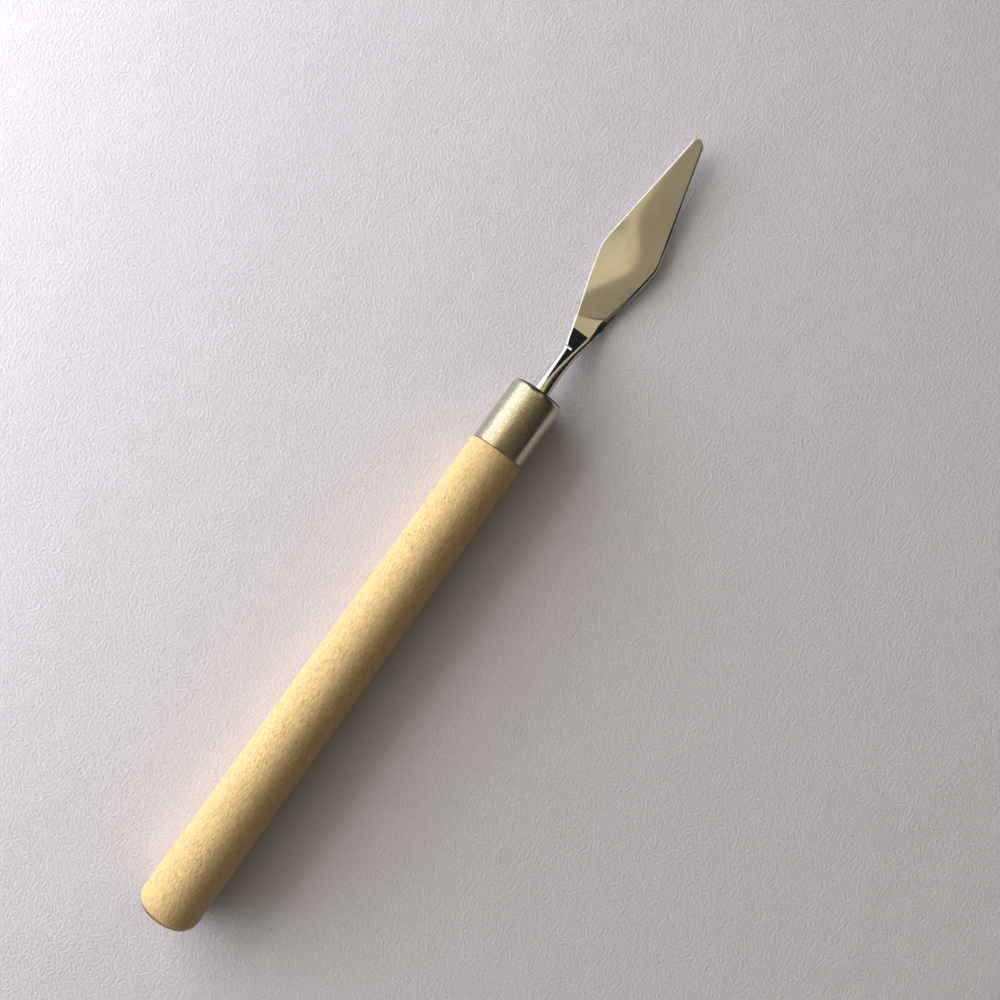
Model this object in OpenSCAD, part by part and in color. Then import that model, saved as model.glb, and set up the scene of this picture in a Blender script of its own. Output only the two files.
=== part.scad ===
// Palette knife lying on a table: a turned wooden handle, a drawn metal ferrule
// and a steel blade forged in one piece with its stem and tang.
// Millimetres. The knife is drawn along its handle axis with the butt at y = 0,
// then laid down so that the tapered handle rests on z = 0 along its whole length.

/* [Handle] */
// Length of the bare wood, butt to ferrule
handle_l = 112.5; // [90:0.5:130]
// Diameter at the butt, before rounding
butt_d = 13; // [12:0.1:16]
// Diameter where the wood meets the ferrule
handle_front_d = 11.9; // [11.6:0.1:12]
// Radius of the rounded butt edge
butt_round = 2.75; // [1:0.25:4]

/* [Ferrule] */
// Length of the ferrule
ferrule_l = 14.6; // [12:0.2:20]
// Outside diameter of the ferrule
ferrule_d = 11.6; // [10:0.1:11.6]
// Thickness of the ferrule's sheet metal
ferrule_wall = 0.5; // [0.3:0.1:0.8]
// Radius of the ferrule's front shoulder
shoulder_round = 1.2; // [1:0.1:2]

/* [Tang and stem] */
// Length of tang hidden behind the ferrule's front face
tang_l = 40; // [25:1:60]
// Diameter of the tang
tang_d = 3.4; // [3:0.1:3.6]
// Diameter of the stem just before the neck
stem_d = 3.2; // [2.6:0.1:3.2]
// How far the tang sits to the side of the handle axis
tang_offset = 0.2; // [0:0.1:0.8]
// Thickness of the adhesive round the tang
glue_gap = 0.3; // [0.2:0.1:0.6]
// Distance that the stem runs forward before the neck
stem_run = 11.3; // [8:0.1:14]
// Distance that the stem drops over that run
stem_drop = 3; // [2:0.1:3.5]
// Depth of the flat hammered on top of the stem, at the neck
stem_flat_depth = 0.3; // [0.2:0.05:0.8]

/* [Neck] */
// Distance from the end of the stem to the root of the blade
neck_l = 4.4; // [3:0.1:6]
// Width of the blade at its root
root_w = 5.9; // [4:0.1:6.4]
// Thickness of the blade at its root
root_thick = 1.5; // [1.2:0.1:2]
// Length over which the root thins down to the blade
root_l = 3.8; // [2:0.1:6]
// Depth of the blade's underside below the handle axis, at its root
heel_drop = 4.9; // [4.5:0.1:5.2]

/* [Blade] */
// Length of the blade, root to tip
blade_l = 47; // [40:0.5:55]
// Reach of the left corner from the blade's centreline
left_reach = 6.65; // [5:0.05:8]
// Reach of the right corner from the blade's centreline
right_reach = 6.35; // [5:0.05:8]
// Distance of the left corner from the root
left_corner_at = 18.7; // [14:0.1:22]
// Distance of the right corner from the root
right_corner_at = 19.5; // [14:0.1:22]
// Rounding of the two side corners
corner_round = 6; // [1:0.5:8]
// Radius of the blunt tip
tip_round = 1.2; // [0.5:0.1:1.5]
// Thickness of the blade
blade_thick = 0.8; // [0.6:0.1:1]
// Turn of the blade to the left of the handle axis, in degrees
blade_yaw = 4.5; // [0:0.1:6]
// Rise of the blade towards its tip, in degrees
blade_rise = 3; // [2:0.1:5]

/* [Hidden] */
$fn = 96;
wood = "#e9cf96";
nickel = "#b9b5a6";
steel = "#c8c4b4";
epoxy = "#d8c890";

hole_play = 0.05;
lap = 0.1;
neck_core = 1.6;
tang_r = tang_d / 2;
stem_r = stem_d / 2;
stem_base_r = tang_r - hole_play;
stem_end_r = root_thick / 2 - lap;
butt_r = butt_d / 2;
front_r = handle_front_d / 2;
ferrule_r = ferrule_d / 2;
tenon_r = ferrule_r - ferrule_wall;
inner_round = shoulder_round - ferrule_wall;
ferrule_front = handle_l + ferrule_l;
tenon_end = ferrule_front - ferrule_wall;
bore_r = tang_r + glue_gap;
tang_end = ferrule_front - tang_l;
bore_end = tang_end - glue_gap;
hole_r = tang_r + hole_play;

stem_pitch = atan(stem_drop / stem_run);
stem_l = norm([stem_run, stem_drop]);
flat_from = 3;
flat_start_r = stem_base_r + (stem_r - stem_base_r) * flat_from / stem_l;
flat_pitch = atan((flat_start_r - stem_r + stem_flat_depth) / (stem_l - flat_from));
bend_lap = tang_r * sin(stem_pitch);
root_y = ferrule_front + stem_run + neck_l;

knife_l = root_y + blade_l * cos(blade_yaw) * cos(blade_rise);
rest_tilt = atan((butt_r - front_r) / handle_l);
axis_height = butt_r * cos(rest_tilt);

function unit(v) = v / norm(v);

// Points of the arc of radius r that rounds the corner b between a and c
function rounded_corner(a, b, c, r, steps) =
    let (
        to_a = unit(a - b),
        to_c = unit(c - b),
        half = acos(to_a * to_c) / 2,
        middle = b + unit(to_a + to_c) * r / sin(half),
        start = b + to_a * r / tan(half) - middle,
        side = sign(start.x * to_c.y - start.y * to_c.x),
        sweep = side * (180 - 2 * half)
    )
    [for (i = [0 : steps])
        let (t = sweep * i / steps)
        middle + [start.x * cos(t) - start.y * sin(t), start.x * sin(t) + start.y * cos(t)]];

// Lays the knife down on its tapered handle, centred front to back
module at_rest() {
    translate([0, -knife_l / 2, axis_height]) rotate([-rest_tilt, 0, 0]) children();
}

// Turns a shape drawn up the z axis to run forward along the handle axis from y
module along_handle(y = 0, x = 0) {
    translate([x, y, 0]) rotate([-90, 0, 0]) children();
}

// A frame at the middle of the stem's base, with y down the stem
module stem_frame() {
    translate([tang_offset, ferrule_front, 0]) rotate([-stem_pitch, 0, 0]) children();
}

// A frame on the blade's underside at its root, with y towards the tip
module blade_frame() {
    translate([tang_offset, root_y, -heel_drop]) rotate([blade_rise, 0, blade_yaw]) children();
}

// Half outline of the handle: body with a rounded butt, and the tenon for the ferrule
module handle_profile() {
    polygon([
        [0, 0], [butt_r - butt_round, 0], [butt_r - butt_round, butt_round], [butt_r, butt_round],
        [front_r, handle_l], [tenon_r, handle_l], [tenon_r, tenon_end - inner_round],
        [tenon_r - inner_round, tenon_end], [0, tenon_end]
    ]);
    translate([butt_r - butt_round, butt_round]) circle(r = butt_round);
}

// A round-shouldered block of radius r and length l, with shoulder radius s
module shoulder_profile(r, l, s) {
    square([r, l - s]);
    square([r - s, l]);
    translate([r - s, l - s]) circle(r = s);
}

// Half section of the drawn cup that makes the ferrule
module ferrule_profile() {
    difference() {
        intersection() {
            shoulder_profile(ferrule_r, ferrule_l, shoulder_round);
            square([ferrule_r, ferrule_l]);
        }
        shoulder_profile(tenon_r, ferrule_l - ferrule_wall, inner_round);
    }
}

// Plan outline of the blade: an uneven kite with rounded corners and a blunt tip
module blade_outline() {
    root_left = [-root_w / 2, 0];
    root_right = [root_w / 2, 0];
    left = [-left_reach, left_corner_at];
    right = [right_reach, right_corner_at];
    tip_left = [-tip_round, blade_l];
    tip_right = [tip_round, blade_l];
    polygon(concat(
        [root_left],
        rounded_corner(root_left, left, tip_left, corner_round, 8),
        rounded_corner(left, tip_left, tip_right, tip_round * 0.75, 8),
        rounded_corner(tip_left, tip_right, right, tip_round * 0.75, 8),
        rounded_corner(tip_right, right, root_right, corner_round, 8),
        [root_right]
    ));
}

// The round stem with the flat that starts in front of the ferrule, and its
// pointed end that is hammered into the root
module stem() {
    stem_frame() {
        difference() {
            along_handle() cylinder(r1 = stem_base_r, r2 = stem_r, h = stem_l);
            translate([-stem_d, flat_from, flat_start_r]) rotate([-flat_pitch, 0, 0])
                cube([2 * stem_d, stem_l, stem_d]);
        }
        along_handle(stem_l - lap) cylinder(r1 = stem_r - stem_flat_depth - lap, r2 = stem_end_r, h = neck_l + lap);
    }
}

// The neck that spreads the stem into the root of the blade
module neck() {
    hull() {
        stem_frame() translate([-neck_core / 2, stem_l - neck_core, -neck_core / 2]) cube(neck_core);
        blade_frame() translate([-root_w / 2 + lap, lap, lap])
            cube([root_w - 2 * lap, lap, root_thick - 3 * lap]);
    }
}

// The flat blade with the thick root that thins down to it
module blade_plate() {
    side = [[0, 0], [2 * blade_l, 0], [2 * blade_l, blade_thick], [root_l, blade_thick], [0, root_thick]];
    blade_frame() intersection() {
        linear_extrude(root_thick) blade_outline();
        translate([-blade_l, 0, 0]) rotate([90, 0, 90]) linear_extrude(2 * blade_l) polygon(side);
    }
}

module handle() {
    color(wood) at_rest() difference() {
        along_handle() rotate_extrude() intersection() {
            handle_profile();
            square([butt_r, tenon_end]);
        }
        along_handle(bore_end, tang_offset) cylinder(r = bore_r, h = tang_l);
    }
}

module ferrule() {
    color(nickel) at_rest() difference() {
        along_handle(handle_l) rotate_extrude() ferrule_profile();
        along_handle(tenon_end - ferrule_wall, tang_offset) cylinder(r = hole_r, h = 3 * ferrule_wall);
    }
}

module blade() {
    color(steel) at_rest() {
        along_handle(tang_end, tang_offset) cylinder(r = tang_r, h = tang_l + bend_lap);
        stem();
        neck();
        blade_plate();
    }
}

module tang_adhesive() {
    color(epoxy) at_rest() difference() {
        along_handle(bore_end, tang_offset) cylinder(r = bore_r, h = tenon_end - bore_end);
        along_handle(tang_end, tang_offset) cylinder(r = tang_r, h = tang_l);
    }
}

handle();
ferrule();
blade();
tang_adhesive();
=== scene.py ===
"""A palette knife on a sheet of paper: turned wooden handle, nickel ferrule, forged steel blade.

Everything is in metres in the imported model's frame: +Y from the butt to the blade's tip, +Z up.
The pieces are first drawn in the handle's own frame, with the axis along y and the butt at y = 0,
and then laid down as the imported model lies.
"""

import math

import bmesh
import bpy
from mathutils import Matrix, Vector, noise


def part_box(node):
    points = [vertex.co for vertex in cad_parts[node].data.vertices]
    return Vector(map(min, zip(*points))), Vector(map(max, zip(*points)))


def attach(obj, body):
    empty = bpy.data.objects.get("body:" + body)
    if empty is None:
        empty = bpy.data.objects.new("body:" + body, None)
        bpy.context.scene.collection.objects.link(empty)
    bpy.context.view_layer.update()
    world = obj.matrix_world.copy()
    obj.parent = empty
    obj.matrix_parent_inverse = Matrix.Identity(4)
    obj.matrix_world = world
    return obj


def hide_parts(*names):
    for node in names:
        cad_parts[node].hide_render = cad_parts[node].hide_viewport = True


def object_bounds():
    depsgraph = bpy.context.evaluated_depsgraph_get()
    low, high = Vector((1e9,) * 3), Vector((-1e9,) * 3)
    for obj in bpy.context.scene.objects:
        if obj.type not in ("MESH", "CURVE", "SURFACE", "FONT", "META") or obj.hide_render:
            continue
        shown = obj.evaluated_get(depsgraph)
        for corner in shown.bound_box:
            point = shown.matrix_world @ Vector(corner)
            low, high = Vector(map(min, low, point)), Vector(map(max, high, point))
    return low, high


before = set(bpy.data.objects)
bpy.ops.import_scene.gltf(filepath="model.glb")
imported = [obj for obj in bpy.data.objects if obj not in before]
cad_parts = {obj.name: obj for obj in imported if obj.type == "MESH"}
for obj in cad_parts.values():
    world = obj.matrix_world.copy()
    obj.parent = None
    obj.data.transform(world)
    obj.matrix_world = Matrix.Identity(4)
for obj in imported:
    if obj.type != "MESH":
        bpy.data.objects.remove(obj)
cad_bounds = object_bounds()

MM = 0.001
ROUND = 128


# ---------------------------------------------------------------- places taken from the frame

handle_lo, handle_hi = (Vector(corner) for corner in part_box("handle"))
ferrule_lo, ferrule_hi = (Vector(corner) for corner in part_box("ferrule"))
blade_lo, blade_hi = (Vector(corner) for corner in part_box("blade"))
glue_lo, glue_hi = (Vector(corner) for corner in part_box("tang_adhesive"))

BUTT_R = (handle_hi.x - handle_lo.x) / 2
BUTT_Y = handle_lo.y
FERRULE_R = (ferrule_hi.x - ferrule_lo.x) / 2
HANDLE_L = ferrule_lo.y - BUTT_Y
FERRULE_L = ferrule_hi.y - ferrule_lo.y
FRONT = HANDLE_L + FERRULE_L
TENON_END = handle_hi.y - BUTT_Y
BORE_R = (glue_hi.x - glue_lo.x) / 2
BORE_X = (glue_hi.x + glue_lo.x) / 2
BORE_END = glue_lo.y - BUTT_Y
TANG_END = blade_lo.y - BUTT_Y
TIP_Y = blade_hi.y - BUTT_Y
TILT = math.atan((BUTT_R - (ferrule_lo.z + ferrule_hi.z) / 2) / (HANDLE_L + FERRULE_L / 2))
AT_REST = Matrix.Translation((0, BUTT_Y, BUTT_R)) @ Matrix.Rotation(-TILT, 4, "X")


# ---------------------------------------------------------------- curves and meshes

def smooth(x):
    """0 below 0, 1 above 1 and an even S between."""
    x = min(1.0, max(0.0, x))
    return x * x * (3 - 2 * x)


def curve(points):
    """A function of y through (y, value, rounding) points: straight, with each corner rounded."""
    spans = list(zip(points, points[1:]))
    slopes = [(b[1] - a[1]) / (b[0] - a[0]) for a, b in spans]

    def value(y):
        index = max([i for i, (a, b) in enumerate(spans) if y >= a[0]], default=0)
        start = spans[index][0]
        out = start[1] + slopes[index] * (y - start[0])
        for i in range(1, len(spans)):
            corner, _, half = points[i]
            if half and abs(y - corner) < half:
                turn = slopes[i] - slopes[i - 1]
                out += turn * (half - abs(y - corner)) ** 2 / (4 * half)
        return out

    return value


def along(*points, unit=MM):
    """A curve from (y, value) or (y, value, rounding) points: y and rounding in millimetres."""
    return curve([(p[0] * MM, p[1] * unit, p[2] * MM if len(p) > 2 else 0) for p in points])


def circle_ring(y, radius, x=0.0):
    """A ring of points round the handle axis, or round a line beside it."""
    turns = [2 * math.pi * i / ROUND for i in range(ROUND)]
    return [Vector((x + radius * math.sin(t), y, radius * math.cos(t))) for t in turns]


def arc(y, radius, size, start, end, steps):
    """(y, radius) points of a round edge of the given size about a centre, from start to end degrees."""
    angles = [math.radians(start + (end - start) * i / steps) for i in range(steps + 1)]
    return [(y + size * math.sin(a), radius + size * math.cos(a)) for a in angles]


def add_cap(bm, row):
    """Closes a ring of vertices with a fan of triangles."""
    middle = bm.verts.new(sum((v.co for v in row), Vector()) / len(row))
    for i, vert in enumerate(row):
        bm.faces.new((vert, middle, row[(i + 1) % len(row)]))


def loft(name, rings, joined=False, crease=25):
    """A closed skin through rings of equal count, capped, or joined from the last ring to the first.

    Edges that turn by more than crease degrees stay sharp.
    """
    bm = bmesh.new()
    rows = [[bm.verts.new(AT_REST @ p) for p in ring] for ring in rings]
    pairs = list(zip(rows, rows[1:]))
    if joined:
        pairs.append((rows[-1], rows[0]))
    for a, b in pairs:
        for i in range(len(a)):
            j = (i + 1) % len(a)
            bm.faces.new((a[i], a[j], b[j], b[i]))
    if not joined:
        add_cap(bm, rows[0])
        add_cap(bm, rows[-1])
    bmesh.ops.recalc_face_normals(bm, faces=bm.faces)
    for face in bm.faces:
        face.smooth = True
    for edge in bm.edges:
        edge.smooth = edge.calc_face_angle(0) < math.radians(crease)
    mesh = bpy.data.meshes.new(name)
    bm.to_mesh(mesh)
    bm.free()
    piece = bpy.data.objects.new(name, mesh)
    bpy.context.scene.collection.objects.link(piece)
    return piece


# ---------------------------------------------------------------- shader helpers

# The Mix node's sockets for colours.
MIX_FACTOR, MIX_A, MIX_B, MIX_RESULT = 0, 6, 7, 2


class Nodes:
    """Adds nodes to a tree. An input is a plain value, a colour of three parts or a node's output."""

    def __init__(self, tree):
        self.tree = tree

    def link(self, socket, source):
        if isinstance(source, bpy.types.NodeSocket):
            self.tree.links.new(source, socket)
        elif socket.type == "RGBA":
            socket.default_value = (*source, 1.0)
        else:
            socket.default_value = source

    def add(self, kind, inputs=None, **settings):
        made = self.tree.nodes.new(kind)
        for key, setting in settings.items():
            setattr(made, key, setting)
        for key, source in (inputs or {}).items():
            self.link(made.inputs[key], source)
        return made

    def math(self, operation, a, b):
        return self.add("ShaderNodeMath", {0: a, 1: b}, operation=operation).outputs["Value"]

    def step(self, source, low, high, start=0.0, end=1.0):
        """Runs from start to end in an even S while source runs from low to high."""
        inputs = {"Value": source, "From Min": low, "From Max": high, "To Min": start, "To Max": end}
        return self.add("ShaderNodeMapRange", inputs, interpolation_type="SMOOTHSTEP").outputs["Result"]

    def mix(self, factor, a, b):
        inputs = {MIX_FACTOR: factor, MIX_A: a, MIX_B: b}
        return self.add("ShaderNodeMix", inputs, data_type="RGBA").outputs[MIX_RESULT]

    def coords(self, kind):
        return self.add("ShaderNodeTexCoord").outputs[kind]

    def split(self, vector):
        return self.add("ShaderNodeSeparateXYZ", {"Vector": vector}).outputs


class Surface(Nodes):
    """The nodes of a new material, patterned in the piece's own coordinates."""

    def __init__(self, name):
        self.material = bpy.data.materials.new(name)
        self.material.use_nodes = True
        super().__init__(self.material.node_tree)
        self.place = self.coords("Object")

    def noise(self, scale, detail, roughness=0.5, stretch=(1, 1, 1), offset=(0, 0, 0)):
        placing = {"Vector": self.place, "Scale": stretch, "Location": offset}
        vector = self.add("ShaderNodeMapping", placing).outputs["Vector"]
        inputs = {"Vector": vector, "Scale": scale, "Detail": detail, "Roughness": roughness}
        return self.add("ShaderNodeTexNoise", inputs).outputs["Fac"]

    def bump(self, height, distance, strength, over=None):
        """A normal from a height, on top of a broader bump where one is given."""
        made = self.add("ShaderNodeBump", {"Height": height, "Distance": distance, "Strength": strength})
        if over is not None:
            self.link(made.inputs["Normal"], over)
        return made.outputs["Normal"]

    def finish(self, **inputs):
        """The material, with the surface shader's inputs given by name."""
        names = {"color": "Base Color", "roughness": "Roughness", "metallic": "Metallic",
                 "specular": "Specular IOR Level", "normal": "Normal"}
        shader = self.tree.nodes["Principled BSDF"]
        for key, source in inputs.items():
            self.link(shader.inputs[names[key]], source)
        return self.material


# ---------------------------------------------------------------- materials

WOOD_PALE = (0.86, 0.625, 0.29)
WOOD_DEEP = (0.60, 0.405, 0.18)
WOOD_FLECK = (0.32, 0.20, 0.085)
# Colours of the butt's end: partly the wood's own darker end grain, partly painted shade where the end
# faces away from the light.
END_GRAIN_AND_SHADE = (0.13, 0.062, 0.026)
END_GRAIN_AND_SHADE_PALE = (0.22, 0.115, 0.05)
# The dark end grain, with painted shade on the butt's end, stops between these distances from the butt,
# raggedly, and is fainter on the right.
END_GRAIN_AND_SHADE_STOPS = (0.95 * MM, 1.35 * MM)
END_GRAIN_AND_SHADE_RAGGED = 0.25 * MM
END_GRAIN_AND_SHADE_FADES = (-4 * MM, 1.5 * MM)
END_GRAIN_AND_SHADE_RIGHT = 0.55

NICKEL_BRIGHT = (0.77, 0.73, 0.60)
NICKEL_DULL = (0.69, 0.65, 0.52)
NICKEL_SPECK = (0.42, 0.38, 0.27)
# Dark colour of the ferrule's edge bands: painted shade at the rear edge, a darker band at the front edge.
EDGE_DARKENING = (0.09, 0.075, 0.055)
# Darker bands inward from the ferrule's front and rear edges: painted shade at the rear, where the ferrule
# meets the wood, and a plain darker band at the front.
DARKENED_FRONT_BAND = (0.52 * MM, 0.38 * MM)
SHADED_REAR_BAND = (0.1 * MM, 0.24 * MM)

STEEL_BRIGHT = (0.70, 0.69, 0.655)
STEEL_DULL = (0.63, 0.62, 0.58)
# The brushed finish of the stem and neck ends between these distances from the ferrule.
BRUSHED_TO = (14 * MM, 17 * MM)

EPOXY_PALE = (0.55, 0.40, 0.16)
EPOXY_DEEP = (0.42, 0.29, 0.10)

PAPER_PALE = (0.79, 0.76, 0.825)
PAPER_DEEP = (0.75, 0.72, 0.785)

# Most of a noise's values lie between these.
SPAN = (0.3, 0.7)


def end_grain_and_shade_mask(wood, fibres):
    """How strongly the end grain and its painted shade show: full on the butt's end, none along the handle.
    """
    place = wood.split(wood.place)
    ragged = wood.math("ADD", place["Y"], wood.math("MULTIPLY", fibres, -END_GRAIN_AND_SHADE_RAGGED))
    near, far = (BUTT_Y + distance for distance in END_GRAIN_AND_SHADE_STOPS)
    butt = wood.step(ragged, near, far, start=1.0, end=0.0)
    fainter = wood.step(place["X"], *END_GRAIN_AND_SHADE_FADES, start=1.0, end=END_GRAIN_AND_SHADE_RIGHT)
    return wood.math("MULTIPLY", butt, fainter)


def wood_material():
    """Bare pale hardwood: fine fibres and short flecks along the handle, dark end grain with painted shade
    at the butt.
    """
    wood = Surface("bare_wood")
    fibres = wood.noise(scale=3600, detail=4, roughness=0.65, stretch=(1, 0.24, 1))
    tone = wood.noise(scale=260, detail=2, stretch=(1, 0.12, 1), offset=(3, 1, 7))
    pores = wood.noise(scale=3800, detail=2, stretch=(1, 0.3, 1), offset=(5, 5, 5))
    grains = wood.noise(scale=6500, detail=1, roughness=0.4, stretch=(1, 0.28, 1), offset=(0.4, 0.2, 0.9))
    flecks = wood.step(grains, 0.6, 0.72)
    color = wood.mix(wood.step(fibres, 0.3, 0.75), WOOD_PALE, WOOD_DEEP)
    color = wood.mix(wood.step(tone, *SPAN, end=0.25), color, WOOD_DEEP)
    color = wood.mix(wood.math("MULTIPLY", flecks, 0.3), color, WOOD_FLECK)
    end_grain_and_shade_color = wood.mix(wood.step(pores, 0.35, 0.65), END_GRAIN_AND_SHADE, END_GRAIN_AND_SHADE_PALE)
    # Painted shade on the butt's end, mixed with its darker end grain.
    color = wood.mix(end_grain_and_shade_mask(wood, fibres), color, end_grain_and_shade_color)
    height = wood.math("ADD", fibres, wood.math("MULTIPLY", flecks, -0.8))
    rough = wood.step(fibres, *SPAN, start=0.44, end=0.6)
    relief = wood.bump(height, distance=0.24 * MM, strength=1.0)
    return wood.finish(color=color, roughness=rough, specular=0.6, normal=relief)


def nickel_material():
    """Satin nickel plate: faint turned lines, cloudy dulling, small specks, a darker band along the front
    edge and painted shade along the rear edge.
    """
    nickel = Surface("satin_nickel")
    turned = nickel.noise(scale=900, detail=2, roughness=0.6, stretch=(0.02, 6, 0.02))
    cloud = nickel.noise(scale=420, detail=3, roughness=0.6, stretch=(1, 0.6, 1), offset=(2, 8, 1))
    specks = nickel.noise(scale=2600, detail=3, roughness=0.7, offset=(1, 1, 4))
    y = nickel.split(nickel.place)["Y"]
    front = nickel.step(y, *(ferrule_hi.y - distance for distance in DARKENED_FRONT_BAND))
    rear = nickel.step(y, *(ferrule_lo.y + distance for distance in SHADED_REAR_BAND), start=1.0, end=0.0)
    # Painted shade along the rear edge, added to a darker band along the front edge.
    edge_darkening = nickel.math("ADD", front, rear)
    color = nickel.mix(nickel.step(cloud, *SPAN), NICKEL_BRIGHT, NICKEL_DULL)
    color = nickel.mix(nickel.step(specks, 0.42, 0.6, end=0.6), color, NICKEL_SPECK)
    color = nickel.mix(edge_darkening, color, EDGE_DARKENING)
    rough = nickel.step(cloud, *SPAN, start=0.17, end=0.23)
    rough = nickel.math("ADD", rough, nickel.math("MULTIPLY", specks, 0.08))
    rough = nickel.math("ADD", rough, nickel.math("MULTIPLY", edge_darkening, 0.2))
    lines = nickel.bump(turned, distance=0.01 * MM, strength=0.25)
    relief = nickel.bump(specks, distance=0.03 * MM, strength=0.7, over=lines)
    return nickel.finish(color=color, metallic=1.0, roughness=rough, normal=relief)


def steel_material():
    """Polished stainless steel: mirror-like blade, fine polishing streaks along the stem and neck."""
    steel = Surface("polished_steel")
    streaks = steel.noise(scale=3200, detail=2, roughness=0.7, stretch=(1, 0.03, 1))
    haze = steel.noise(scale=260, detail=3, roughness=0.6, stretch=(1, 0.5, 1), offset=(4, 2, 0))
    near, far = (BUTT_Y + FRONT + reach for reach in BRUSHED_TO)
    neck = steel.step(steel.split(steel.place)["Y"], near, far, start=1.0, end=0.0)
    color = steel.mix(steel.step(haze, *SPAN), STEEL_BRIGHT, STEEL_DULL)
    brushed = steel.math("MULTIPLY", neck, steel.step(streaks, 0.4, 0.7, end=0.08))
    rough = steel.math("ADD", steel.step(haze, *SPAN, start=0.05, end=0.10), brushed)
    depth = steel.math("ADD", 0.12, steel.math("MULTIPLY", neck, 0.5))
    height = steel.math("MULTIPLY", streaks, depth)
    relief = steel.bump(height, distance=0.004 * MM, strength=0.6)
    return steel.finish(color=color, metallic=1.0, roughness=rough, normal=relief)


def epoxy_material():
    """Cured amber adhesive."""
    epoxy = Surface("cured_epoxy")
    cloud = epoxy.noise(scale=700, detail=3)
    color = epoxy.mix(epoxy.step(cloud, *SPAN), EPOXY_PALE, EPOXY_DEEP)
    rough = epoxy.step(cloud, *SPAN, start=0.2, end=0.35)
    relief = epoxy.bump(cloud, distance=0.02 * MM, strength=0.3)
    return epoxy.finish(color=color, roughness=rough, normal=relief)


def paper_material():
    """Heavy drawing paper with a fine tooth and slow undulations."""
    paper = Surface("paper")
    tooth = paper.noise(scale=1700, detail=4, roughness=0.72)
    cockle = paper.noise(scale=45, detail=3, offset=(6, 2, 0))
    color = paper.mix(paper.step(tooth, *SPAN), PAPER_PALE, PAPER_DEEP)
    swell = paper.bump(cockle, distance=1.2 * MM, strength=0.35)
    relief = paper.bump(tooth, distance=0.38 * MM, strength=0.9, over=swell)
    return paper.finish(color=color, roughness=0.65, normal=relief)


# ---------------------------------------------------------------- handle

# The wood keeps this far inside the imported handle, and stands a little proud of the ferrule.
SKIN = 0.012 * MM
WOOD_PROUD = 0.15 * MM
WOOD_R = BUTT_R - SKIN
WOOD_FRONT_R = FERRULE_R + WOOD_PROUD
BUTT_ROUND = 2.75 * MM
BUTT_ROUND_FROM = -84
BUTT_DOME = 0.15 * MM
DOME_STEPS = 12
FRONT_EDGE = 0.18 * MM
BODY_STEPS = 110
# The turning's slight unevenness, faded out over a few steps at both ends.
UNEVEN = 0.012 * MM
UNEVEN_LENGTH = 9 * MM
UNEVEN_FADE = 6
FERRULE_WALL = 0.5 * MM
TENON_R = FERRULE_R - FERRULE_WALL
INNER_ROUND = 0.7 * MM


def butt_profile():
    """The butt's slightly domed end, the faint ring round it and the rounded edge."""
    flat_r = WOOD_R - BUTT_ROUND
    parts = [i / DOME_STEPS for i in range(1, DOME_STEPS)]
    dome = [(SKIN + BUTT_DOME * part ** 2, flat_r * part) for part in parts]
    return dome + arc(SKIN + BUTT_ROUND, flat_r, BUTT_ROUND, BUTT_ROUND_FROM, 0, steps=28)


def body_profile():
    """The long taper from the butt to the ferrule."""
    start, end = SKIN + BUTT_ROUND, HANDLE_L - FRONT_EDGE
    slope = (WOOD_FRONT_R - WOOD_R) / (end - start)
    points = []
    for i in range(1, BODY_STEPS + 1):
        y = start + (end - start) * i / BODY_STEPS
        fade = smooth(i / UNEVEN_FADE) * smooth((BODY_STEPS - i) / UNEVEN_FADE)
        uneven = UNEVEN * noise.noise(Vector((0.3, y / UNEVEN_LENGTH, 0.7))) * fade
        points.append((y, WOOD_R + slope * (y - start) + uneven))
    return points


def tenon_profile():
    """The small edge behind the ferrule, then the tenon inside it with its chamfered end."""
    edge = arc(HANDLE_L - FRONT_EDGE, WOOD_FRONT_R - FRONT_EDGE, FRONT_EDGE, 20, 90, steps=5)
    chamfer = [(TENON_END - INNER_ROUND, TENON_R), (TENON_END, TENON_R - INNER_ROUND)]
    return edge + [(HANDLE_L, TENON_R)] + chamfer


def make_handle():
    """One turned piece, closed round the blind bore for the tang."""
    rings = [circle_ring(y, r) for y, r in butt_profile() + body_profile() + tenon_profile()]
    rings += [circle_ring(y, BORE_R, BORE_X) for y in (TENON_END, (TENON_END + BORE_END) / 2, BORE_END)]
    piece = loft("handle_wood", rings)
    piece.data.materials.append(wood_material())
    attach(piece, "root")
    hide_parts("handle")


# ---------------------------------------------------------------- ferrule

SHOULDER = 1.2 * MM
RIM = 0.16 * MM
HOLE_LIP = 0.25 * MM
HOLE_R = BORE_R - HOLE_LIP
HOLE_EDGE = 0.12 * MM
WALL_STEPS = 24


def make_ferrule():
    """A drawn cup: outside with a rounded shoulder, a hole with a soft edge, and the inside."""
    wall_l = FERRULE_L - SHOULDER - RIM
    outer = arc(HANDLE_L + RIM, FERRULE_R - RIM, RIM, -90, 0, steps=6)
    outer += [(HANDLE_L + RIM + wall_l * i / WALL_STEPS, FERRULE_R) for i in range(1, WALL_STEPS)]
    outer += arc(FRONT - SHOULDER, FERRULE_R - SHOULDER, SHOULDER, 0, 90, steps=16)
    hole = arc(FRONT - HOLE_EDGE, HOLE_R + HOLE_EDGE, HOLE_EDGE, 90, 180, steps=5)
    hole.append((FRONT - FERRULE_WALL, HOLE_R))
    inner = arc(FRONT - FERRULE_WALL - INNER_ROUND, TENON_R - INNER_ROUND, INNER_ROUND, 90, 0, steps=8)
    inner.append((HANDLE_L, TENON_R))
    rings = [circle_ring(y, r) for y, r in outer]
    rings += [circle_ring(y, r, BORE_X) for y, r in hole]
    rings += [circle_ring(y, r) for y, r in inner]
    piece = loft("ferrule_nickel", rings, joined=True)
    piece.data.materials.append(nickel_material())
    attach(piece, "root")
    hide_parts("ferrule")


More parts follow.
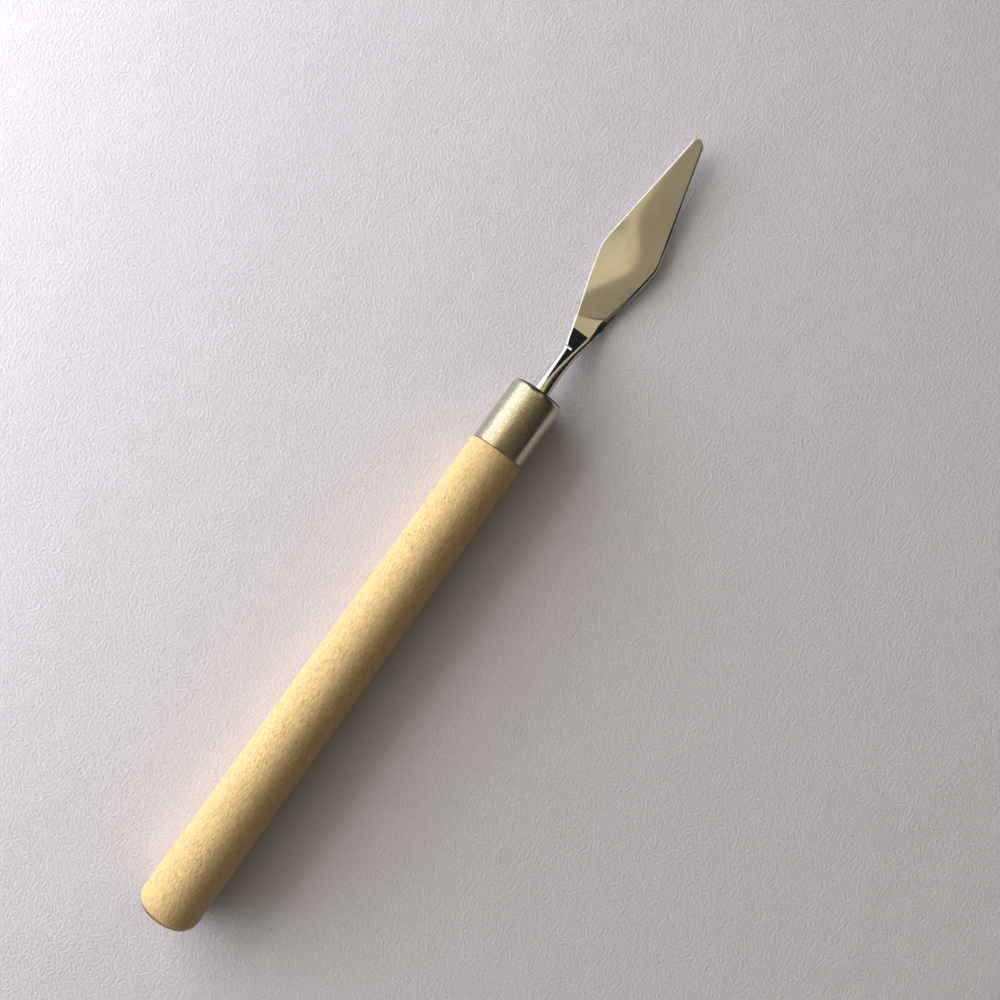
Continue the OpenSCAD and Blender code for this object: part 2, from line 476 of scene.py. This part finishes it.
# ---------------------------------------------------------------- blade, stem and tang

# Distances forward from the ferrule's face, places to the side, and heights from the handle's axis.
ROOT_AT = 15.7 * MM
BLADE_AT = 19.5 * MM
LEFT_AT = 33.8 * MM
RIGHT_AT = 35.6 * MM
TIP_AT = TIP_Y - FRONT
TIP_X = -3.5 * MM
TIP_R = 1.2 * MM
CORNER_CUT = 0.1 * MM
LEFT_X = blade_lo.x - CORNER_CUT
RIGHT_X = blade_hi.x + CORNER_CUT
HEEL_Z = -4.9 * MM
THICK = 0.8 * MM
RISE_TO_BLADE = 0.18 * MM
BLADE_Z = HEEL_Z + THICK + RISE_TO_BLADE
CROSS_MARK_AT = 11.23 * MM

# How the top of the blade rises and is crowned, and how the facet at its root is twisted.
RISE_AT_ROOT = math.tan(math.radians(1.1))
RISE_AT_TIP = math.tan(math.radians(4.8))
CROWN = math.radians(0.33) / MM
FACET_TWIST = 0.0135 / MM

# The rounded crease where the root facet meets the blade, and the shallow groove on its blade side.
# The groove fades out towards the left.
CREASE = 0.03 * MM
GROOVE = 0.018 * MM
GROOVE_REACH = 0.05 * MM
GROOVE_OFFSET = 0.8
GROOVE_LEFT_END = -2.4 * MM
GROOVE_FADE = 3 * MM

# Steps round a section, and how its corners are cut.
FLAT_STEPS = 26
SIDE_STEPS = 14
BEVEL_STEPS = 3
CORNER_STEPS = 5
CORNER_SOFT = 0.12 * MM
CORNER_SHARE = 0.3
BEVEL_HEAD = 0.88
SIDE_FOOT = 0.3
UNDER_RIGHT = 0.5
UNDER_LEFT = 0.6
UNDERCUT = 0.2 * MM

# How far each ring of the blunt tip and of the tang's end is through its closing.
TIP_CLOSING = (0.0, 0.25, 0.45, 0.62, 0.76, 0.87, 0.94, 0.985)
TANG_CLOSING = (0.95, 0.75, 0.45)
TANG_ROUND = 0.4 * MM
END_DEPTH = 0.55

# The outline seen from above, and the lines that part the top flat from the sides.
left_x = along((-50, -1.5), (0, -1.5, 1), (11, -1.6, 1), (15.7, -2.8, 1.2), (27.6, -6.35, 5),
               (LEFT_AT / MM, LEFT_X / MM, 1.6), (TIP_AT / MM, (TIP_X - TIP_R) / MM))
right_x = along((-50, 1.9), (0, 1.85, 1), (6.8, 1.72, 2), (11.2, 1.95, 1), (16, 2.7, 1.5),
                (21, 3, 2), (27.7, 4.1, 3), (RIGHT_AT / MM, RIGHT_X / MM, 1.6),
                (TIP_AT / MM, (TIP_X + TIP_R) / MM))
flat_left = along((-50, 1), (0.4, 1.05), (11.2, 0.78), (11.23, 1.9), (11.6, 1.9), (11.76, 0.65),
                  (13, 0.48, 0.6), (19.4, 0.42, 1), (26, 0.24, 3), (62, 0.22))
flat_right = along((-50, 2.1), (3, 2.1, 0.5), (11.3, 1.2, 1), (15.7, 1.16, 0.7), (17.2, 0.95, 0.7),
                   (19.5, 1.28, 0.7), (21.3, 1.0, 1), (24.6, 0.78, 1), (27.7, 0.64, 2), (34, 0.5, 3),
                   (62, 0.48))
shoulder = along((-50, 0.7), (0.4, 0.7), (4.4, 0.45, 1), (11.3, 0.3, 1), (15.4, 0.35, 0.5),
                 (17.4, 0.12, 1), (62, 0.12))

# Heights of the neck's top and the underside, how far the left side and the shoulder fall below the
# top flat, and how high the right side stands on the underside.
neck_top = along((-50, 1.6), (0.4, 1.55, 0.3), (3.2, 1.02, 0.3), (11.3, -1.68, 0.3), (15.7, -3.4, 0.1),
                 (18.6, -3.78, 0.5), (24.3, -4.88))
under_z = along((-50, -1.7), (0.4, -1.6, 1), (11.3, -4.5, 3), (15.7, -4.9, 2), (24, -4.88, 4), (62, -2.9))
left_drop = along((-50, 0.8), (0.4, 0.8), (11.2, 0.6), (11.23, 0.9), (11.6, 0.9), (11.76, 0.51),
                  (13.2, 0.38, 0.6), (19.4, 0.33, 1), (26, 0.19, 3), (62, 0.18))
shoulder_drop = along((-50, 0.09), (0.4, 0.09), (4.4, 0.06, 1), (11.3, 0.036, 1), (15.4, 0.042, 0.5),
                      (17.4, 0.09, 1), (62, 0.09))
right_height = along((-50, 1.7), (0.4, 1.5), (11.3, 1.1, 2), (15.7, 0.5, 1), (22, 0.22, 3), (62, 0.18))

# The share of the left bevel that its rounded foot takes: least across the small cross mark.
left_foot = along((0, 0.3), (11.2, 0.36), (11.23, 0.06), (11.6, 0.06), (11.76, 0.3), (13, 0.25),
                  (62, 0.25), unit=1)
# The slow twist left by the polishing wheel, in degrees, and the line that it turns about.
twist = along((0, 2.8), (20.9, 2.6, 1), (31.9, -0.75, 2), (35.9, -0.6, 2), (42.4, 1.6, 2), (62, 1.5),
              unit=1)
blade_middle = along((15.7, 0.15), (62, -3.5))


def blade_top(off, y):
    """Height of the blade's own top: rising ever faster to the tip, twisted and slightly crowned."""
    past = y - BLADE_AT
    bending = (RISE_AT_TIP - RISE_AT_ROOT) / (2 * (TIP_AT - BLADE_AT))
    rise = past * RISE_AT_ROOT + bending * past * past
    return BLADE_Z + rise - math.radians(twist(y)) * off - CROWN * off * off / 2


def top_height(x, y):
    """Height of the top flat: the neck's planes and root facet, then the blade beyond a grooved crease."""
    off = x - blade_middle(y)
    past_root = max(0.0, y - ROOT_AT)
    neck = neck_top(y) + FACET_TWIST * off * past_root
    if y < ROOT_AT:
        return neck
    blade = blade_top(off, y)
    nearness = math.exp(-((neck - blade) / GROOVE_REACH + GROOVE_OFFSET) ** 2)
    groove = GROOVE * nearness * smooth((off - GROOVE_LEFT_END) / GROOVE_FADE)
    higher = (neck + blade + math.hypot(neck - blade, CREASE)) / 2
    return higher - (CREASE / 2 + groove) * smooth(past_root / MM)


def blade_section(y):
    """Key points of the section at y: the top flat, its shoulder, both sides and the underside."""
    left, right, under = left_x(y), right_x(y), under_z(y)
    flat_l, flat_r = left + flat_left(y), right - flat_right(y)
    top_l, top_r = top_height(flat_l, y), top_height(flat_r, y)
    return {
        "flat_l": Vector((flat_l, top_l)),
        "flat_r": Vector((flat_r, top_r)),
        "edge": Vector((flat_r + shoulder(y), top_r - shoulder_drop(y))),
        "right": Vector((right, under + right_height(y))),
        "left": Vector((left, top_l - left_drop(y))),
        "under_r": Vector((right - right_height(y) * UNDER_RIGHT, under)),
        "under_l": Vector((left + UNDERCUT + left_drop(y) * UNDER_LEFT, under)),
    }


def bend(start, corner, stop, steps):
    """Points of an even bend from start to stop, leaving and arriving towards the corner."""
    parts = [i / steps for i in range(1, steps + 1)]
    return [start.lerp(corner, t).lerp(corner.lerp(stop, t), t) for t in parts]


def run(start, stop, steps):
    """Points of a straight line after its start."""
    return [start.lerp(stop, i / steps) for i in range(1, steps + 1)]


def top_outline(at, y):
    """The top flat from left to right, following its height."""
    soft = min(CORNER_SOFT, (at["flat_r"].x - at["flat_l"].x) * CORNER_SHARE)
    start = at["flat_l"] + Vector((soft, 0))
    stop = at["flat_r"] - Vector((soft, 0))
    points = [start] + run(start, stop, FLAT_STEPS)
    for point in points:
        point.y = top_height(point.x, y)
    return points


def right_outline(at, top_end):
    """From the end of the top flat over the shoulder and down the right side to the underside."""
    mid_shoulder = at["flat_r"].lerp(at["edge"], 0.5)
    fall = at["edge"] - at["flat_r"]
    wall = at["right"].x
    corner_z = at["edge"].y + fall.y / fall.x * (wall - at["edge"].x)
    corner = Vector((wall, max(at["right"].y, corner_z)))
    points = bend(top_end, at["flat_r"], mid_shoulder, CORNER_STEPS)
    points += run(mid_shoulder, at["edge"], 2)
    points += bend(at["edge"], corner, at["right"], SIDE_STEPS)
    points += bend(at["right"], Vector((wall, at["under_r"].y)), at["under_r"], CORNER_STEPS)
    return points


def left_outline(at, y, top_start):
    """From the underside up the left side and its bevel to the start of the top flat."""
    low_left = Vector((at["left"].x, at["under_l"].y))
    side_foot = at["left"].lerp(low_left, SIDE_FOOT)
    bevel_foot = at["left"].lerp(at["flat_l"], left_foot(y))
    bevel_head = at["left"].lerp(at["flat_l"], BEVEL_HEAD)
    points = bend(at["under_l"], low_left, side_foot, CORNER_STEPS)
    points += bend(side_foot, at["left"], bevel_foot, CORNER_STEPS)
    points += run(bevel_foot, bevel_head, BEVEL_STEPS)
    points += bend(bevel_head, at["flat_l"], top_start, CORNER_STEPS)[:-1]
    return points


def blade_ring(y, closing=0.0):
    """One section of the forging across y, measured forward from the ferrule's face.

    closing runs from 0 to 1 over the blunt end of the tip or tang and draws the section in.
    """
    at = blade_section(y)
    top = top_outline(at, y)
    underside = run(at["under_r"], at["under_l"], FLAT_STEPS)
    outline = top + right_outline(at, top[-1]) + underside + left_outline(at, y, top[0])
    width = math.sqrt(max(0.0, 1 - closing * closing))
    depth = min(1.0, END_DEPTH + width)
    centre_x = (left_x(y) + right_x(y)) / 2
    centre_z = (at["flat_l"].y + at["under_l"].y) / 2
    return [Vector((centre_x + (p.x - centre_x) * width, FRONT + y, centre_z + (p.y - centre_z) * depth))
            for p in outline]


def spaced(start, step, count):
    """Evenly spaced distances from start, given in millimetres."""
    return [(start + step * i) * MM for i in range(count)]


def blade_stations():
    """Where the sections are: few along the tang, closest over the neck, root and facet."""
    tang = [TANG_END - FRONT + distance * MM for distance in (0.4, 2, 10, 20, 30, 38)]
    stem = spaced(-1, 0.25, 45)
    neck_and_root = spaced(10.08, 0.08, 164)
    blade = spaced(23.2, 0.4, 98)
    spots = [y for y in tang + stem + neck_and_root + [CROSS_MARK_AT] + blade if y < TIP_AT - TIP_R]
    # Rounded to a tenth of a micrometre, so that equal ones merge.
    return sorted(set(round(y, 7) for y in spots))


def make_blade():
    """One forging: tang, stem, hammered neck, root and kite-shaped blade."""
    tang_end = TANG_END - FRONT
    rings = [blade_ring(tang_end + TANG_ROUND * (1 - part), part) for part in TANG_CLOSING]
    rings += [blade_ring(y) for y in blade_stations()]
    rings += [blade_ring(TIP_AT - TIP_R * (1 - part), part) for part in TIP_CLOSING]
    piece = loft("blade_steel", rings, crease=14)
    piece.data.materials.append(steel_material())
    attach(piece, "root")
    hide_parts("blade")


# ---------------------------------------------------------------- adhesive

def finish_adhesive():
    """The adhesive keeps its CAD mesh and gets a better material."""
    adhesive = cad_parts["tang_adhesive"]
    adhesive.data.materials.clear()
    adhesive.data.materials.append(epoxy_material())


# ---------------------------------------------------------------- camera and paper

SENSOR_MM = 36
FOCAL = 1.08
CLIP_START = 0.01
CAMERA_AT = Vector((6.2, 1.9, 222.8)) * MM
CAMERA_LEAN = math.radians(2.2)
KNIFE_TURN = math.radians(0.505)
FRAME_TURN = math.radians(-35.21)
PAPER_HALF = 2


def make_camera():
    """A phone held over the table: nearly straight down, turned so that the knife lies across the frame."""
    data = bpy.data.cameras.new("camera")
    data.sensor_width = SENSOR_MM
    data.lens = SENSOR_MM * FOCAL
    data.clip_start = CLIP_START
    camera = bpy.data.objects.new("camera", data)
    bpy.context.scene.collection.objects.link(camera)
    turn = Matrix.Rotation(KNIFE_TURN, 4, "Z")
    turn = turn @ Matrix.Rotation(CAMERA_LEAN, 4, "X")
    turn = turn @ Matrix.Rotation(-FRAME_TURN, 4, "Z")
    camera.matrix_world = Matrix.Translation(CAMERA_AT) @ turn
    bpy.context.scene.camera = camera


def make_paper():
    """A sheet of paper much larger than the view, touching the knife from below."""
    bm = bmesh.new()
    bmesh.ops.create_grid(bm, x_segments=2, y_segments=2, size=PAPER_HALF)
    mesh = bpy.data.meshes.new("paper")
    bm.to_mesh(mesh)
    bm.free()
    paper = bpy.data.objects.new("paper", mesh)
    paper.location.z = cad_bounds[0][2]
    paper.data.materials.append(paper_material())
    bpy.context.scene.collection.objects.link(paper)


# ---------------------------------------------------------------- light

PANEL_TOWARDS = Vector((-0.98, -0.12, 0.0)).normalized()
PANEL_DISTANCE = 0.24
PANEL_SHIFT = -0.03
PANEL_WIDTH = 0.55
WINDOW = {"low": 0.016, "high": 0.1, "watts": 0.85, "color": (0.95, 0.99, 1.1)}
BLIND = {"low": 0.1, "high": 0.232, "watts": 0.65, "color": (1.0, 0.965, 0.92)}


def make_panel(name, low, high, watts, color):
    """An upright panel of light on the left, a little towards the butt, between two heights."""
    data = bpy.data.lights.new(name, "AREA")
    data.shape = "RECTANGLE"
    data.size = PANEL_WIDTH
    data.size_y = high - low
    data.energy = watts
    data.color = color
    panel = bpy.data.objects.new(name, data)
    panel.location = PANEL_TOWARDS * PANEL_DISTANCE + Vector((0, PANEL_SHIFT, (low + high) / 2))
    panel.rotation_mode = "QUATERNION"
    panel.rotation_quaternion = PANEL_TOWARDS.to_track_quat("Z", "Y")
    panel.visible_camera = False
    panel.visible_glossy = False
    bpy.context.scene.collection.objects.link(panel)


# ---------------------------------------------------------------- room

# Colours by angle to the side of straight up, in degrees: -90 is level on the left, 90 on the right.
OVERHEAD = [(-90, (2.2, 2.18, 2.0)), (-46, (1.75, 1.62, 1.28)), (-33, (1.6, 1.38, 1.0)),
            (-22, (0.5, 0.43, 0.28)), (-12, (0.11, 0.095, 0.06)), (45, (0.17, 0.14, 0.09)),
            (75, (0.15, 0.125, 0.085)), (81, (0.01, 0.01, 0.008))]
BEIGE = [(-90, (1.4, 1.4, 1.35)), (-54, (1.4, 1.33, 1.1)), (-30, (0.85, 0.76, 0.5)),
         (-15, (0.80, 0.68, 0.43)), (16, (0.78, 0.66, 0.40)), (24, (0.08, 0.065, 0.045)),
         (60, (0.02, 0.02, 0.02))]
OLIVE = [(-90, (0.39, 0.33, 0.21)), (14, (0.37, 0.31, 0.2)), (25, (0.08, 0.065, 0.045)),
         (60, (0.02, 0.02, 0.02))]
DISTANT = [(-49, (1.95, 1.95, 1.93)), (-40, (0.4, 0.36, 0.27)), (-30, (0.64, 0.55, 0.35)),
           (16, (0.64, 0.54, 0.33)), (24, (0.07, 0.055, 0.038)), (60, (0.02, 0.02, 0.02))]
BEHIND = [(-90, (0.8, 0.83, 0.9)), (-40, (0.45, 0.48, 0.56)), (-15, (0.14, 0.15, 0.19)),
          (20, (0.06, 0.065, 0.085))]
FAR_END = (0.016, 0.018, 0.024)

# Between which angles each part of the room starts or ends, in degrees ahead of straight up.
BEHIND_ENDS = (-30.0, -10.0)
FRONT_STARTS = (8.2, 9.2)
DISTANT_STARTS = (18.0, 22.0)
FAR_END_STARTS = (35.0, 39.0)
# Where olive takes over from beige and where the far end stops, in degrees to the side.
OLIVE_STARTS = (-2.4, -1.2)
FAR_END_STOPS = (4.0, 8.0)
# The far end is also cut off along a diagonal of the direction's x and y.
FAR_END_DIAGONAL = (-0.05, 0.1)

# Colours are held at this share in the nodes, and the room's strength makes it up.
HELD_SHARE = 0.5
RAMP_FROM = -90
RAMP_SPAN = 180


def held(color):
    return tuple(channel * HELD_SHARE for channel in color)


def room_ramp(room, degrees, stops):
    """The colour at an angle in degrees."""
    place = room.math("ADD", room.math("DIVIDE", degrees, RAMP_SPAN), -RAMP_FROM / RAMP_SPAN)
    made = room.add("ShaderNodeValToRGB", {"Fac": place})
    elements = made.color_ramp.elements
    while len(elements) < len(stops):
        elements.new(0.5)
    for element, (angle, color) in zip(elements, stops):
        element.position = (angle - RAMP_FROM) / RAMP_SPAN
        element.color = (*held(color), 1)
    return made.outputs["Color"]


def angle_from_up(room, across, up):
    """Degrees from straight up."""
    return room.math("MULTIPLY", room.math("ARCTAN2", across, up), math.degrees(1))


def far_end_mask(room, direction, side, ahead):
    """1 towards the dark far end of the room and 0 elsewhere."""
    diagonal = room.math("ADD", direction["X"], direction["Y"])
    left_part = room.step(side, *FAR_END_STOPS, start=1.0, end=0.0)
    across = room.math("MULTIPLY", room.step(diagonal, *FAR_END_DIAGONAL), left_part)
    return room.math("MULTIPLY", room.step(ahead, *FAR_END_STARTS), across)


def make_world():
    """The room, by direction: a pale wall on the left, a dim ceiling, beige ahead and black beyond it."""
    world = bpy.data.worlds.new("room")
    world.use_nodes = True
    bpy.context.scene.world = world
    room = Nodes(world.node_tree)
    direction = room.split(room.coords("Generated"))
    side = angle_from_up(room, direction["X"], direction["Z"])
    ahead = angle_from_up(room, direction["Y"], direction["Z"])
    overhead, beige, olive, distant, behind = (
        room_ramp(room, side, stops) for stops in (OVERHEAD, BEIGE, OLIVE, DISTANT, BEHIND))
    front = room.mix(room.step(side, *OLIVE_STARTS), beige, olive)
    front = room.mix(room.step(ahead, *DISTANT_STARTS), front, distant)
    color = room.mix(room.step(ahead, *FRONT_STARTS), overhead, front)
    color = room.mix(far_end_mask(room, direction, side, ahead), color, held(FAR_END))
    color = room.mix(room.step(ahead, *BEHIND_ENDS, start=1.0, end=0.0), color, behind)
    background = world.node_tree.nodes["Background"]
    room.link(background.inputs["Color"], color)
    background.inputs["Strength"].default_value = 1 / HELD_SHARE


# ---------------------------------------------------------------- the scene

make_camera()
make_handle()
make_ferrule()
make_blade()
finish_adhesive()
make_paper()
make_panel("window", **WINDOW)
make_panel("blind", **BLIND)
make_world()
bpy.context.scene.view_settings.view_transform = "Standard"
